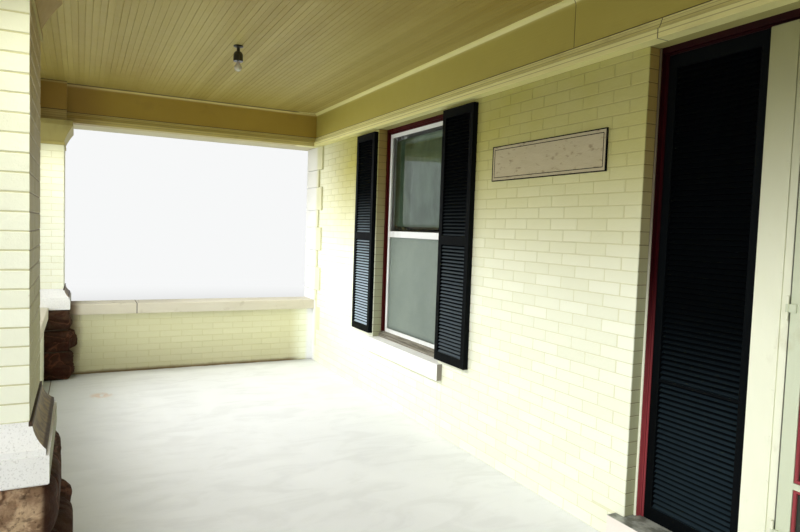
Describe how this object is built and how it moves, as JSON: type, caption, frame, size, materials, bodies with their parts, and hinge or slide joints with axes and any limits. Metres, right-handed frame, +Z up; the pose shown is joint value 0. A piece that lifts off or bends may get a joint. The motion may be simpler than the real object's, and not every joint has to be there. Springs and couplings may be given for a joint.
{
  "type": "front porch",
  "caption": "Covered front porch against its house wall: brick columns on rock-faced pedestals, low walls, boxed beams, beaded ceiling, hipped roof, louvred shutters and a hinged glazed door.",
  "frame": {"origin": "middle of the box's base, on the ground", "axes": "+X to the right along the house wall seen from outside, +Y towards the house, +Z up"},
  "size_m": [13.63, 3.905, 4.6333],
  "materials": {
    "field_stone": "rough split face",
    "concrete": "trowelled, worn",
    "painted_brick": "painted brick, dull",
    "brown_stone": "rock-faced sandstone",
    "pale_stone": "painted cut stone",
    "trim_paint": "satin paint",
    "ceiling_paint": "satin paint",
    "roofing": "slate, dull",
    "red_paint": "gloss paint",
    "white_metal": "white enamel",
    "glass": "clear",
    "black_paint": "gloss paint",
    "cream_paint": "satin paint",
    "cream_metal": "satin enamel",
    "bright_brass": "worn",
    "black_glaze": "gloss",
    "bulb_glass": "frosted"
  },
  "bodies": {
    "house": {"foundation": "field_stone", "floor_slab": "concrete", "wall_left": "painted_brick", "wall_right": "painted_brick", "wall_door": "painted_brick", "pedestal_1": "brown_stone", "pedestal_2": "brown_stone", "pedestal_3": "brown_stone", "pedestal_4": "brown_stone", "pedestal_cap_1": "pale_stone", "pedestal_cap_2": "pale_stone", "pedestal_cap_3": "pale_stone", "pedestal_cap_4": "pale_stone", "column_1": "painted_brick", "column_2": "painted_brick", "column_3": "painted_brick", "column_4": "painted_brick", "front_low_walls": "painted_brick", "end_low_walls": "painted_brick", "front_copings": "pale_stone", "end_copings": "pale_stone", "beam_front": "trim_paint", "beam_left": "trim_paint", "beam_right": "trim_paint", "wall_frieze": "trim_paint", "ceiling": "ceiling_paint", "cornice": "trim_paint", "roof": "roofing", "window_frame_left": "red_paint", "window_frame_right": "red_paint", "window_storm_left": "white_metal", "window_storm_right": "white_metal", "window_sashes": "red_paint", "window_glass": "glass", "window_sills": "pale_stone", "shutters_left": "black_paint", "shutters_right": "black_paint", "door_sill": "pale_stone", "door_casing": "red_paint", "door_mullions": "cream_paint", "door_louvres": "black_paint", "door_hinges": "cream_paint", "lamp_sockets": "black_glaze", "lamp_bulbs": "bulb_glass"},
    "door": {"storm_door": "cream_metal", "door_glass": "glass", "door_handle": "bright_brass"}
  },
  "joints": [
    {"name": "door_hinge", "type": "hinge", "parent": "house", "child": "door", "pos_m": [-0.45, 1.7265, 1.5], "axis": [0, 0, -1], "range_deg": [0, 100]}
  ]
}
